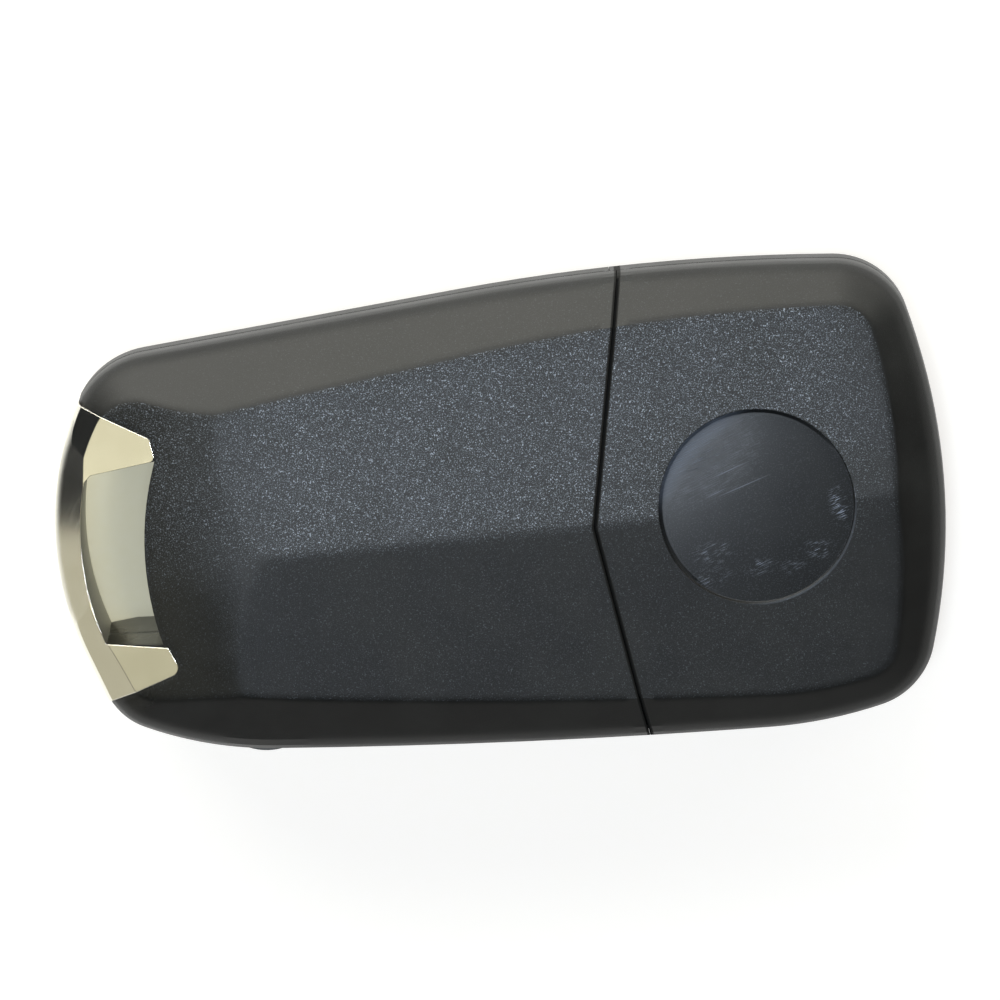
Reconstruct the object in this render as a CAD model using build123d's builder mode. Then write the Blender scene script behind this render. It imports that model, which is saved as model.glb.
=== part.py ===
from build123d import *
from math import cos, radians, sin, sqrt, tan
import os

# Folding car remote key, blade folded. It lies on its front with the back face up.
# X runs along the key towards the wide end, Y across it, away from the blade side, and Z up.
# The origin is under the middle of the casing, on the plane that the front face lies on.

# Casing outline, seen on the back
casing_length = 75.0
casing_width = 40.12
head_end_radius = 26.6
head_end_y = -0.53
wide_end_radius = 53.1
wide_end_y = -1.17
shoulder_angle = 32.6
shoulder_radius = 7.5
far_side_margin = 44.2
far_side_taper = 8.15
far_corner_angle = 23.1
far_corner_radius = 6.5
near_corner_angle = 17.2
near_corner_radius = 6.5
heel_lean = 23.0
heel_run = 6.0
heel_radius = 5.6
blade_side_start = 17.5
blade_side_end = 15.5
blade_side_start_rise = 0.31
blade_side_end_rise = 0.38

# Casing section: upright side walls, bevels, and a low two-sided roof that falls to the wide end
wall = 1.5
front_bevel_height = 4.2
side_wall_top = 10.85
back_bevel_slope = 38.0
back_bevel_width = 5.45
front_edge_round = 2.5
back_edge_round = 3.0
bow_edge_round = 0.9
edge_round_steps = 3
ridge_height = 15.05
ridge_y = -1.25
ridge_turn = 3.15
ridge_fall = 1.6
roof_slope = 3.0
end_slope = 18.0
end_slope_reach = 40.5
end_slope_radius = 28.2
end_slope_height = 15.62
end_blend_slope = 1.2
end_blend_radius = 40.0

# Parting of the two halves, and the V-shaped parting of head and remote section
split_height = 7.75
half_gap = 0.1
vee_gap = 0.24
vee_step = 0.6
lip_inset = 0.6
lip_gap = 0.06
lip_drop = 0.3
vee_inset = 29.6
vee_y = -1.13
vee_far_inset = 26.75
vee_near_inset = 25.5

# Key-ring window, measured from the head end's tip and from the window's own top and bottom
window_left = 2.2
window_right = 7.6
window_mouth = 8.8
window_top_y = 4.1
window_bottom_y = -9.7
window_top_left = 2.75
window_top_corner = 3.3
window_top_corner_rise = 0.6
window_top_rise = 1.85
window_bottom_left = 3.95
window_left_middle_y = -1.0
window_right_middle_y = -1.5
window_wall_reach = 2.6

# Bow, from the same places: its upper and lower tab
bow_overrun = 2.0
upper_tab_start = 1.0
upper_tab_start_rise = 10.6
upper_tab_bend = 2.7
upper_tab_bend_rise = 6.3
upper_tab_tip = 8.45
upper_tab_tip_rise = 3.7
upper_tab_nose = 8.85
upper_tab_nose_rise = 1.87
lower_tab_nose = 9.2
lower_tab_nose_drop = 0.26
lower_tab_tip = 10.25
lower_tab_tip_drop = 2.3
lower_tab_bend = 4.0
lower_tab_bend_drop = 5.18
lower_tab_end_drop = 7.9
upper_tab_round = 0.5
lower_tab_round = 0.8

# Rim of the bow: a steep band between the window's left side and the wall
rim_width = 2.35
rim_top = 12.3
rim_slope = 42.0
rim_radius = 60.0
rim_spread = 50.0

# Blade, its hub and the slot that it folds into
pivot_inset = 17.1
pivot_rise = 5.16
blade_tip_inset = 4.9
blade_width = 8.0
blade_thickness = 2.4
blade_offset = 0.6
blade_clearance = 0.2
blade_root = 2.9
blade_root_step = 1.6
blade_tip_length = 4.5
blade_tip_flat = 2.0
hub_radius = 5.0
hub_height = 3.7
hub_arm_reach = 7.0
hub_arm_width = 7.6
hub_arm_round = 0.8
hub_slot_gap = 0.05
hub_clearance = 0.15
back_trunnion_radius = 3.0
back_trunnion_height = 1.8
front_trunnion_radius = 2.6
front_trunnion_height = 1.0
end_gap = 0.1
running_gap = 0.06
slot_rib = 1.0
slot_end_gap = 0.8
pin_radius = 0.8
pin_reach = 4.8
pin_gap = 0.02

# Wavy track milled into both faces of the blade: its steps, and how far each lies to the side
track_start = 16.0
track_depth = 0.55
track_width = 3.0
track_step = 4.2
track_ramp = 1.1
track_overrun = 1.0
track_sides = [0.0, 0.9, -0.5, 0.7, 1.3, -0.2, 0.4]

# Release button and its spring
release_radius = 3.2
release_gap = 0.15
release_recess = 0.4
release_travel = 1.0
stem_radius = 1.6
stem_gap = 0.1
spring_wire = 0.25
spring_radius = 1.3
spring_turns = 5
spring_seat_depth = 0.3
spring_pocket = 1.2
hub_cup_radius = 2.3

# Screws that hold the halves of the head together
screw_inset = 12.5
screw_bow_y = 4.5
screw_tongue_gap = 8.0
screw_far_y = 11.5
screw_near_y = -5.0
screw_shank_radius = 0.85
screw_head_radius = 1.7
screw_head_height = 1.0
screw_sink = 1.2
screw_gap = 0.15
screw_boss_wall = 1.0
screw_pillar_wall = 1.4
screw_bite = 4.2

# Badge seat in the back of the remote section
badge_inset = 16.0
badge_y = 0.0
badge_radius = 8.25
badge_depth = 0.85
badge_floor = 1.0

# Tongue of the remote section in the mouth of the head
tongue_reach = 4.4
tongue_gap = 0.3
tongue_wall = 1.2
bulkhead_set_back = 0.3
bulkhead = 1.0

# Remote buttons
key_length = 12.5
key_width = 8.0
key_corner = 2.4
key_pitch = 9.6
key_pair_y = 3.8
key_recess = 0.35
key_gap = 0.15
key_flange = 0.7
key_flange_height = 0.8
key_lift = 0.25
key_travel = 0.4
nub_radius = 1.5

# Circuit board and what it carries
board_height = 5.2
board_thickness = 1.0
board_gap = 0.3
board_wall_gap = 0.8
frame_wall = 1.0
frame_gap = 0.2
switch_length = 4.2
switch_width = 3.4
switch_height = 1.3
switch_bevel = 0.3
plunger_radius = 1.0
plunger_gap = 0.08
plunger_depth = 0.5
plunger_rise = 0.6
chip_length = 4.4
chip_width = 3.6
chip_height = 0.6
resonator_length = 3.8
resonator_width = 3.0
resonator_height = 1.3
resonator_round = 0.6
corner_part_inset = 2.2
transponder_length = 12.0
transponder_width = 6.0
transponder_height = 3.0
transponder_bevel = 0.8
transponder_y = 3.0

# Coin cell and its two contacts
cell_radius = 10.0
cell_height = 3.2
cell_inset = 13.5
cell_y = 4.8
cell_cap_inset = 1.4
cell_can_step = 0.6
cell_edge = 0.4
clip_sheet = 0.3
clip_width = 5.0
clip_gap = 0.3
contact_height = 0.7
contact_pad = 6.0

# Room that cutting blocks have beyond the casing
beyond = 10.0


# Places that follow from the casing's two ends and its blade side
head_tip_x = -casing_length / 2
wide_tip_x = casing_length / 2
near_y = -casing_width / 2
head_end_x = head_tip_x + head_end_radius
wide_end_x = wide_tip_x - wide_end_radius
end_slope_x = head_tip_x + end_slope_reach
far_side_run = casing_length - far_side_margin
window_left_x = head_tip_x + window_left
window_right_x = head_tip_x + window_right
pivot_x = head_tip_x + pivot_inset
pivot_y = near_y + pivot_rise
blade_tip_x = wide_tip_x - blade_tip_inset
vee_x = wide_tip_x - vee_inset
vee_far_x = wide_tip_x - vee_far_inset
vee_near_x = wide_tip_x - vee_near_inset
tongue_x = vee_x - tongue_reach
bulkhead_x = vee_near_x + bulkhead_set_back
badge_x = wide_tip_x - badge_inset
cell_x = wide_tip_x - cell_inset
screw_places = [
    (head_tip_x + screw_inset, screw_bow_y),
    (tongue_x - screw_tongue_gap, screw_far_y),
    (tongue_x - screw_tongue_gap, screw_near_y),
]

# The casing's outline, set in by a given amount and drawn at a given height


def on_circle(centre_x, centre_y, radius, angle):
    return Vector(centre_x + radius * cos(radians(angle)), centre_y + radius * sin(radians(angle)))


shoulder = on_circle(head_end_x, head_end_y, head_end_radius, 180 - shoulder_angle)
head_tip = on_circle(head_end_x, head_end_y, head_end_radius, 180)
heel_top = on_circle(head_end_x, head_end_y, head_end_radius, 180 + heel_lean)
heel = heel_top + Vector(sin(radians(heel_lean)), -cos(radians(heel_lean))) * heel_run
far_bend = shoulder + Vector(cos(radians(far_side_taper)), sin(radians(far_side_taper))) * far_side_run
far_corner = on_circle(wide_end_x, wide_end_y, wide_end_radius, far_corner_angle)
wide_tip = on_circle(wide_end_x, wide_end_y, wide_end_radius, 0)
near_corner = on_circle(wide_end_x, wide_end_y, wide_end_radius, -near_corner_angle)
near_start = Vector(head_tip_x + blade_side_start, near_y + blade_side_start_rise)
near_end = Vector(wide_tip_x - blade_side_end, near_y + blade_side_end_rise)
near_middle = Vector((near_start.X + near_end.X) / 2, near_y)

with BuildSketch() as outline:
    with BuildLine():
        ThreePointArc(shoulder, head_tip, heel_top)
        Line(heel_top, heel)
        near_side = ThreePointArc(near_start, near_middle, near_end)
        TangentArc(near_start, heel, tangent=(near_side % 0) * -1)
        TangentArc(near_end, near_corner, tangent=near_side % 1)
        ThreePointArc(near_corner, wide_tip, far_corner)
        far_side = Line(shoulder, far_bend)
        TangentArc(far_bend, far_corner, tangent=far_side % 1)
    make_face()
    fillet(outline.vertices().sort_by_distance(shoulder)[0], shoulder_radius)
    fillet(outline.vertices().sort_by_distance(far_corner)[0], far_corner_radius)
    fillet(outline.vertices().sort_by_distance(near_corner)[0], near_corner_radius)
    fillet(outline.vertices().sort_by_distance(heel)[0], heel_radius)


# A point of the outline's edge, moved square to the edge towards the middle
def inset_point(edge, share, inset):
    square = (edge % share).rotate(Axis.Z, 90)
    inward = square if square.dot(edge @ share) < 0 else square * -1
    return edge @ share + inward * inset


def outline_at(inset, height):
    with BuildSketch(Plane.XY.offset(height)) as profile:
        with BuildLine():
            for edge in outline.edges():
                start, middle, end = [inset_point(edge, share, inset) for share in (0, 0.5, 1)]
                if edge.geom_type == GeomType.LINE:
                    Line(start, end)
                else:
                    ThreePointArc(start, middle, end)
        make_face()
    return profile.sketch.face()


# The casing's form, lofted through its outlines from the front face to above the roof.
# With edge_round, the edges between walls and bevels are soft, as they are outside.
def edge_levels(inset, radius, height, turn, upward):
    run = radius * tan(radians(turn) / 2)
    levels = []
    for step in range(edge_round_steps + 1):
        angle = radians(turn) * step / edge_round_steps
        levels.append((inset + radius * (1 - cos(angle)), height + upward * (radius * sin(angle) - run)))
    return levels if upward > 0 else levels[::-1]


def casing_body(inset, edge_round):
    slope = radians(back_bevel_slope)
    wall_top = side_wall_top - inset * (1 / cos(slope) - tan(slope))
    wall_foot = front_bevel_height + inset * (sqrt(2) - 1)
    levels = [(wall_foot, inset)]
    if edge_round:
        levels += edge_levels(inset, front_edge_round, wall_foot, 45, -1)
        levels += edge_levels(inset, edge_round, wall_top, 90 - back_bevel_slope, 1)
    else:
        levels += [(inset, wall_foot), (inset, wall_top)]
    bevel = back_bevel_width - inset
    levels.append((back_bevel_width, wall_top + bevel * tan(slope)))
    with BuildPart() as body:
        loft([outline_at(*level) for level in levels], ruled=True)
        extrude(body.faces().sort_by(Axis.Z)[-1], amount=beyond / 2)
    return body.part


def above_roof(inset):
    fall = radians(ridge_fall)
    turn = radians(ridge_turn)
    along_ridge = (cos(turn) * cos(fall), sin(turn) * cos(fall), -sin(fall))
    ridge = Plane(
        origin=(0, ridge_y, ridge_height - inset),
        x_dir=(-sin(turn), cos(turn), 0),
        z_dir=along_ridge,
    )
    half = casing_width / 2 + beyond
    drop = half * tan(radians(roof_slope))
    with BuildPart() as space:
        with BuildSketch(ridge):
            with BuildLine():
                Polyline((-half, -drop), (0, 0), (half, -drop), (half, beyond), (-half, beyond), close=True)
            make_face()
        extrude(amount=casing_length / 2 + beyond, both=True)
    return space.part


# The head end curves down from the roof to the cone that slopes to the bow.
def above_head_end(inset):
    slope = tan(radians(end_slope))
    rise = tan(radians(end_blend_slope))
    fall = tan(radians(ridge_fall))
    cone_height = end_slope_height - inset / cos(radians(end_slope)) + end_slope_radius * slope
    roof_height = ridge_height - inset - end_slope_x * fall
    bend = (cone_height - roof_height) / (slope + fall)
    bend_height = cone_height - bend * slope
    inner = bend - beyond
    outer = bend + 2 * beyond
    spread = 60
    start = radians(180 - spread)
    half_plane = Plane(
        origin=(end_slope_x, wide_end_y, 0), x_dir=(cos(start), sin(start), 0), z_dir=(sin(start), -cos(start), 0)
    )
    with BuildPart() as space:
        with BuildSketch(half_plane) as profile:
            with BuildLine():
                Polyline(
                    (inner, bend_height - beyond * rise),
                    (bend, bend_height),
                    (outer, bend_height - 2 * beyond * slope),
                    (outer, bend_height + beyond),
                    (inner, bend_height + beyond),
                    close=True,
                )
            make_face()
            fillet(profile.vertices().sort_by_distance((bend, bend_height))[0], end_blend_radius - inset)
        revolve(axis=Axis((end_slope_x, wide_end_y, 0), (0, 0, 1)), revolution_arc=2 * spread)
    return space.part


def casing_form(inset, edge_round=0):
    body = casing_body(inset, edge_round)
    roof_space = above_roof(inset)
    end_space = above_head_end(inset)
    with BuildPart() as form:
        add(body)
        add(roof_space, mode=Mode.SUBTRACT)
        add(end_space, mode=Mode.SUBTRACT)
    return form.part


outer_form = casing_form(0, back_edge_round)
inner_form = casing_form(wall)


# Plan regions that both halves share, as blocks over the casing's whole height
low = -beyond
tall = 3 * beyond
slot_low = split_height - blade_thickness / 2 - blade_clearance
slot_high = split_height + blade_thickness / 2 + blade_clearance
folded_y = pivot_y + blade_offset
open_y = pivot_y - blade_offset
slot_top_y = folded_y + blade_width / 2 + blade_clearance
open_slot_top_y = open_y + blade_width / 2 + blade_clearance
slot_end_x = blade_tip_x + slot_end_gap
liner_top_y = slot_top_y + slot_rib
half_length = casing_length / 2 + beyond
half_width = casing_width / 2 + beyond


def vee_block(side, step):
    shift = side * vee_gap / 2 - step
    far_x = vee_x + (vee_far_x - vee_x) * (half_width - vee_y) / (casing_width / 2 - vee_y)
    near_x = vee_x + (vee_near_x - vee_x) * (half_width + vee_y) / (casing_width / 2 + vee_y)
    with BuildPart() as block:
        with BuildSketch(Plane.XY.offset(low)):
            with BuildLine():
                Polyline(
                    (far_x + shift, half_width),
                    (vee_x + shift, vee_y),
                    (near_x + shift, -half_width),
                    (side * half_length, -half_width),
                    (side * half_length, half_width),
                    close=True,
                )
            make_face()
        extrude(amount=tall)
    return block.part


# In the front half the parting lies a little nearer the head, so no light falls through it.
head_side = vee_block(-1, 0)
remote_side = vee_block(1, 0)
head_front_side = vee_block(-1, vee_step)
remote_front_side = vee_block(1, vee_step)

# A lip of the remote section reaches across the parting: in the walls, and under the surface elsewhere.
lip_reach = vee_gap - lip_gap
with BuildPart() as lip_zone:
    add(casing_form(lip_inset))
    with Locations((0, 0, front_bevel_height)):
        Box(
            2 * half_length,
            2 * half_width,
            side_wall_top - lip_drop - front_bevel_height,
            align=(Align.CENTER, Align.CENTER, Align.MIN),
        )

with BuildPart() as back_half:
    with Locations((0, 0, split_height + half_gap / 2)):
        Box(2 * half_length, 2 * half_width, tall, align=(Align.CENTER, Align.CENTER, Align.MIN))

with BuildPart() as front_half:
    with Locations((0, 0, split_height - half_gap / 2)):
        Box(2 * half_length, 2 * half_width, tall, align=(Align.CENTER, Align.CENTER, Align.MAX))

# Key-ring window: left side along the bow, right side bowed towards it
window_mouth_x = head_tip_x + window_mouth
window_top_left_point = (head_tip_x + window_top_left, window_top_y)
window_corner_point = (head_tip_x + window_top_corner, window_top_y + window_top_corner_rise)
window_left_point = (window_left_x, window_left_middle_y)
window_foot_point = (head_tip_x + window_bottom_left, window_bottom_y)
window_mouth_top = (window_mouth_x, window_top_y + window_top_rise)
window_mouth_foot = (window_mouth_x, window_bottom_y)
with BuildPart() as window:
    with BuildSketch(Plane.XY.offset(low)):
        with BuildLine():
            Line(window_corner_point, window_mouth_top)
            ThreePointArc(window_mouth_top, (window_right_x, window_right_middle_y), window_mouth_foot)
            Line(window_mouth_foot, window_foot_point)
            ThreePointArc(window_foot_point, window_left_point, window_top_left_point)
            Line(window_top_left_point, window_corner_point)
        make_face()
    extrude(amount=tall)

# Plan of the bow with its upper and lower tabs, before the casing's form trims it
bow_outer_x = head_tip_x - bow_overrun
bow_start_y = window_top_y + upper_tab_start_rise
upper_nose_point = (head_tip_x + upper_tab_nose, window_top_y + upper_tab_nose_rise)
upper_tip_point = (head_tip_x + upper_tab_tip, window_top_y + upper_tab_tip_rise)
lower_tip_point = (head_tip_x + lower_tab_tip, window_bottom_y - lower_tab_tip_drop)
with BuildPart() as bow_block:
    with BuildSketch(Plane.XY.offset(low)) as bow_plan:
        with BuildLine():
            Polyline(
                (head_tip_x - upper_tab_start, bow_start_y),
                (head_tip_x + upper_tab_bend, window_top_y + upper_tab_bend_rise),
                upper_tip_point,
                upper_nose_point,
                window_corner_point,
                window_top_left_point,
            )
            ThreePointArc(window_top_left_point, window_left_point, window_foot_point)
            Polyline(
                window_foot_point,
                (head_tip_x + lower_tab_nose, window_bottom_y - lower_tab_nose_drop),
                lower_tip_point,
                (head_tip_x + lower_tab_bend, window_bottom_y - lower_tab_bend_drop),
                (bow_outer_x, window_bottom_y - lower_tab_end_drop),
                (bow_outer_x, bow_start_y),
                (head_tip_x - upper_tab_start, bow_start_y),
            )
        make_face()
        fillet(bow_plan.vertices().sort_by_distance(lower_tip_point)[0], lower_tab_round)
        fillet(bow_plan.vertices().sort_by_distance(upper_nose_point)[0], upper_tab_round)
        fillet(bow_plan.vertices().sort_by_distance(upper_tip_point)[0], upper_tab_round)
    extrude(amount=tall)

# Room that the blade and the hub's arm need as they swing out past the blade side
with BuildPart() as blade_room:
    with Locations((pivot_x, slot_top_y, (slot_low + slot_high) / 2)):
        Box(slot_end_x - pivot_x, half_width, slot_high - slot_low, align=(Align.MIN, Align.MAX, Align.CENTER))
    with Locations((pivot_x, open_slot_top_y, (slot_low + slot_high) / 2)):
        Box(half_length, half_width, slot_high - slot_low, align=(Align.MAX, Align.MAX, Align.CENTER))

hub_low = split_height - hub_height / 2
hub_high = split_height + hub_height / 2
room_low = hub_low - hub_clearance
room_height = hub_height + 2 * hub_clearance
arm_room = hub_arm_reach + hub_clearance

with BuildPart() as hub_room:
    with BuildSketch(Plane.XY.offset(room_low)):
        with Locations((pivot_x, pivot_y)):
            Circle(hub_radius + hub_clearance)
        with Locations((pivot_x, folded_y + hub_arm_width / 2 + hub_clearance)):
            Rectangle(arm_room, hub_arm_width + beyond, align=(Align.MIN, Align.MAX))
        with Locations((pivot_x, open_y + hub_arm_width / 2 + hub_clearance)):
            Rectangle(arm_room, hub_arm_width + beyond, align=(Align.MAX, Align.MAX))
    extrude(amount=room_height)
    for side, arm_side in ((1, Align.MIN), (-1, Align.MAX)):
        corner_rise = hub_arm_width / 2 + side * blade_offset
        corner_reach = sqrt(hub_arm_reach**2 + corner_rise**2)
        with BuildSketch(Plane.XY.offset(room_low)):
            with Locations((pivot_x, pivot_y)):
                Circle(corner_reach + hub_clearance)
            with Locations((pivot_x, pivot_y + corner_rise + hub_clearance)):
                Rectangle(2 * beyond, 3 * beyond, align=(arm_side, Align.MAX), mode=Mode.INTERSECT)
        extrude(amount=room_height)

# Ribs that close the blade's slot off from the inside
with BuildPart() as slot_liner:
    with Locations((0, liner_top_y, (slot_low + slot_high) / 2)):
        Box(
            2 * half_length,
            half_width,
            slot_high - slot_low + 2 * slot_rib,
            align=(Align.CENTER, Align.MAX, Align.CENTER),
        )
    add(inner_form, mode=Mode.INTERSECT)

# The head's hollow stops short of the window, with a wall between them.
with BuildPart() as hollow:
    add(inner_form)
    with Locations((window_right_x + window_wall_reach, 0, 0)):
        Box(half_length, 2 * half_width, 2 * tall, align=(Align.MAX, Align.CENTER, Align.CENTER), mode=Mode.SUBTRACT)
    add(slot_liner.part, mode=Mode.SUBTRACT)

# Both halves of the casing as one hollow moulding, before it is parted
with BuildPart() as casing:
    add(outer_form)
    add(hollow.part, mode=Mode.SUBTRACT)
    add(blade_room.part, mode=Mode.SUBTRACT)

with BuildPart() as back_lip:
    add(casing.part)
    add(lip_zone.part, mode=Mode.INTERSECT)
    add(vee_block(1, lip_reach), mode=Mode.INTERSECT)

with BuildPart() as front_lip:
    add(casing.part)
    add(lip_zone.part, mode=Mode.INTERSECT)
    add(vee_block(1, vee_step + lip_reach), mode=Mode.INTERSECT)


# Head, upper half: bearing for the hub's back trunnion, spring pocket and screw pillars
roof_inside = ridge_height - wall
bearing_radius = back_trunnion_radius + running_gap
boss_radius = bearing_radius + wall
trunnion_top = hub_high + back_trunnion_height
spring_top = trunnion_top + spring_pocket
pilot_top = split_height + screw_bite
pillar_radius = screw_shank_radius + pin_gap + screw_pillar_wall

with BuildPart() as head_pillars:
    with Locations(*[(x, y, split_height + half_gap / 2) for x, y in screw_places]):
        Cylinder(pillar_radius, roof_inside, align=(Align.CENTER, Align.CENTER, Align.MIN))
    with Locations((pivot_x, pivot_y, hub_high + hub_clearance)):
        Cylinder(boss_radius, roof_inside, align=(Align.CENTER, Align.CENTER, Align.MIN))
    add(inner_form, mode=Mode.INTERSECT)

with BuildPart() as head_back_shell:
    add(casing.part)
    add(head_side, mode=Mode.INTERSECT)
    add(back_half.part, mode=Mode.INTERSECT)
    add(head_pillars.part)
    add(window.part, mode=Mode.SUBTRACT)
    add(bow_block.part, mode=Mode.SUBTRACT)
    add(hub_room.part, mode=Mode.SUBTRACT)
    with Locations((pivot_x, pivot_y, split_height)):
        Cylinder(
            bearing_radius,
            trunnion_top + hub_clearance - split_height,
            align=(Align.CENTER, Align.CENTER, Align.MIN),
            mode=Mode.SUBTRACT,
        )
        Cylinder(
            hub_cup_radius,
            spring_top - split_height,
            align=(Align.CENTER, Align.CENTER, Align.MIN),
            mode=Mode.SUBTRACT,
        )
    with Locations(*[(x, y, 0) for x, y in screw_places]):
        Cylinder(
            screw_shank_radius + pin_gap,
            pilot_top,
            align=(Align.CENTER, Align.CENTER, Align.MIN),
            mode=Mode.SUBTRACT,
        )
head_back_shell.part.label = "head_back_shell"


# Head, lower half: guide of the release button, bearing of the front trunnion, screw bosses
front_bearing_top = hub_low - hub_clearance
front_trunnion_low = hub_low - front_trunnion_height
front_bearing_low = front_trunnion_low - end_gap
guide_radius = release_radius + release_gap
screw_seat = screw_sink + screw_head_height
boss_outer = screw_head_radius + screw_gap + screw_boss_wall

with BuildPart() as head_bosses:
    with Locations(*[(x, y, 0) for x, y in screw_places]):
        Cylinder(
            boss_outer, split_height - half_gap / 2, align=(Align.CENTER, Align.CENTER, Align.MIN)
        )
    with Locations((pivot_x, pivot_y, 0)):
        Cylinder(guide_radius + screw_boss_wall, front_bearing_top, align=(Align.CENTER, Align.CENTER, Align.MIN))
    add(inner_form, mode=Mode.INTERSECT)

with BuildPart() as head_front_shell:
    add(casing.part)
    add(head_front_side, mode=Mode.INTERSECT)
    add(front_half.part, mode=Mode.INTERSECT)
    add(head_bosses.part)
    add(window.part, mode=Mode.SUBTRACT)
    add(bow_block.part, mode=Mode.SUBTRACT)
    add(hub_room.part, mode=Mode.SUBTRACT)
    with Locations((pivot_x, pivot_y, 0)):
        Cylinder(
            guide_radius, front_bearing_low, align=(Align.CENTER, Align.CENTER, Align.MIN), mode=Mode.SUBTRACT
        )
        Cylinder(
            front_trunnion_radius + running_gap,
            split_height,
            align=(Align.CENTER, Align.CENTER, Align.MIN),
            mode=Mode.SUBTRACT,
        )
    with Locations(*[(x, y, 0) for x, y in screw_places]):
        Cylinder(
            screw_head_radius + screw_gap,
            screw_seat,
            align=(Align.CENTER, Align.CENTER, Align.MIN),
            mode=Mode.SUBTRACT,
        )
        Cylinder(
            screw_shank_radius + screw_gap,
            split_height,
            align=(Align.CENTER, Align.CENTER, Align.MIN),
            mode=Mode.SUBTRACT,
        )
head_front_shell.part.label = "head_front_shell"


# Self-tapping screws, heads sunk in the front: three like solids in one node
with BuildPart() as head_screws:
    with BuildSketch(Plane.XY.offset(screw_sink)):
        with Locations(*screw_places):
            Circle(screw_head_radius)
            RegularPolygon(screw_head_radius / 2, 6, rotation=90, mode=Mode.SUBTRACT)
    extrude(amount=screw_head_height / 2)
    with BuildSketch(Plane.XY.offset(screw_sink + screw_head_height / 2)):
        with Locations(*screw_places):
            Circle(screw_head_radius)
    extrude(amount=screw_head_height / 2)
    with BuildSketch(Plane.XY.offset(screw_seat)):
        with Locations(*screw_places):
            Circle(screw_shank_radius)
    extrude(amount=pilot_top - screw_seat - screw_gap)
    chamfer(head_screws.edges().group_by(Axis.Z)[-1], screw_shank_radius / 2)
head_screws.part.label = "head_screws"


# Key-ring bow: one casting, flush with the casing, forked where the blade swings through.
# Its rim falls steeply from the window's left side to the wall.
rim_centre_x = head_tip_x + rim_width + rim_radius
rim_rise = rim_width * tan(radians(rim_slope))
with BuildPart() as above_rim:
    with BuildSketch(Plane(origin=(rim_centre_x, window_left_middle_y, 0), x_dir=(-1, 0, 0), z_dir=(0, 1, 0))):
        with BuildLine():
            Polyline(
                (rim_radius - rim_width, rim_top + rim_rise),
                (rim_radius + 2 * rim_width, rim_top - 2 * rim_rise),
                (rim_radius + 2 * rim_width, rim_top + rim_rise),
                close=True,
            )
        make_face()
    revolve(axis=Axis((rim_centre_x, window_left_middle_y, 0), (0, 0, 1)), revolution_arc=rim_spread / 2)
    mirror(about=Plane.XZ.offset(-window_left_middle_y))

bow_form = casing_form(0, bow_edge_round)
with BuildPart() as ring_bow:
    add(bow_form)
    add(bow_block.part, mode=Mode.INTERSECT)
    add(above_rim.part, mode=Mode.SUBTRACT)
    add(window.part, mode=Mode.SUBTRACT)
    add(blade_room.part, mode=Mode.SUBTRACT)
    add(hub_room.part, mode=Mode.SUBTRACT)
ring_bow.part.label = "ring_bow"


# Blade: flat bar with a pointed tip and a wavy track milled into both faces
blade_start_x = pivot_x + blade_root
blade_step_x = pivot_x + hub_arm_reach
track_start_x = pivot_x + track_start
half_blade = blade_width / 2
half_root = half_blade - blade_root_step

track_points = []
for place, side in enumerate(track_sides):
    step_x = track_start_x + place * track_step
    track_points.append((step_x, side))
    track_points.append((step_x + track_step - track_ramp, side))
track_exit = (blade_tip_x + track_overrun, track_sides[-1])
upper_edge = [(x, folded_y + track_width / 2 + side) for x, side in track_points + [track_exit]]
lower_edge = [(x, folded_y - track_width / 2 + side) for x, side in track_points + [track_exit]]

with BuildPart() as key_blade:
    with BuildSketch(Plane.XY.offset(split_height - blade_thickness / 2)) as blade_plan:
        with BuildLine():
            Polyline(
                (blade_start_x, folded_y - half_root),
                (blade_step_x, folded_y - half_root),
                (blade_step_x + blade_root_step, folded_y - half_blade),
                (blade_tip_x - blade_tip_length, folded_y - half_blade),
                (blade_tip_x, folded_y - blade_tip_flat / 2),
                (blade_tip_x, folded_y + blade_tip_flat / 2),
                (blade_tip_x - blade_tip_length, folded_y + half_blade),
                (blade_step_x + blade_root_step, folded_y + half_blade),
                (blade_step_x, folded_y + half_root),
                (blade_start_x, folded_y + half_root),
                close=True,
            )
        make_face()
        with Locations((pivot_x + pin_reach, folded_y)):
            Circle(pin_radius + pin_gap, mode=Mode.SUBTRACT)
    extrude(amount=blade_thickness)
    for face_height in (
        split_height - blade_thickness / 2,
        split_height + blade_thickness / 2 - track_depth,
    ):
        with BuildSketch(Plane.XY.offset(face_height)):
            with BuildLine():
                Polyline(*upper_edge, *lower_edge[::-1], close=True)
            make_face()
        extrude(amount=track_depth, mode=Mode.SUBTRACT)
key_blade.part.label = "key_blade"


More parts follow.
